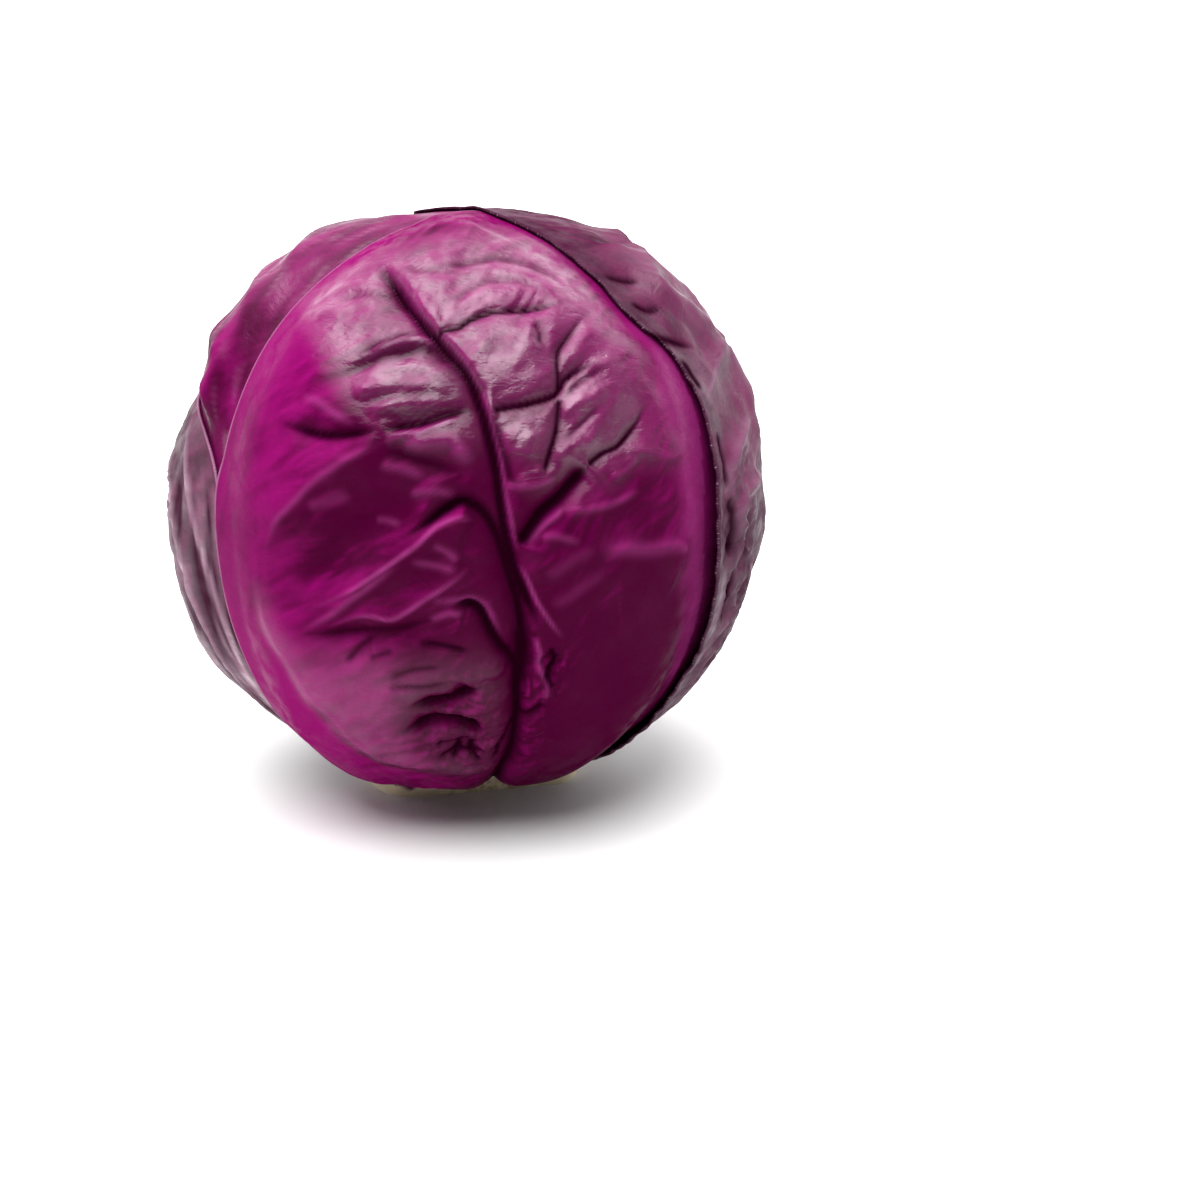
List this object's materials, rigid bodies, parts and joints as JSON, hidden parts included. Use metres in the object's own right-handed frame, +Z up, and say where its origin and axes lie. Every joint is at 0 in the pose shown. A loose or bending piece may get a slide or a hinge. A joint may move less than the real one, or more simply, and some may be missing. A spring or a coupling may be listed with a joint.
{
  "type": "red cabbage head",
  "caption": "Whole head of red cabbage: a round heart wrapped in ribbed leaves, standing on its cut stem.",
  "frame": {"origin": "middle of the stem's cut face, which the head stands on", "axes": "+Z up through the head's crown, -Y the way the front leaf faces, +X to the viewer's right"},
  "size_m": [0.1491, 0.1513, 0.1473],
  "materials": {
    "stem": "moist cut stem, cream, matt",
    "inner_leaves": "waxy purple leaf",
    "fresh_leaf": "smooth waxy magenta leaf with a soft sheen",
    "weathered_leaf": "dull purple leaf with a grey wax bloom"
  },
  "bodies": {
    "root": {"cut_stem": "stem", "heart": "inner_leaves", "crown_leaf": "fresh_leaf", "left_leaf": "fresh_leaf", "back_leaf": "weathered_leaf", "front_leaf": "fresh_leaf", "right_leaf": "weathered_leaf"}
  },
  "joints": []
}
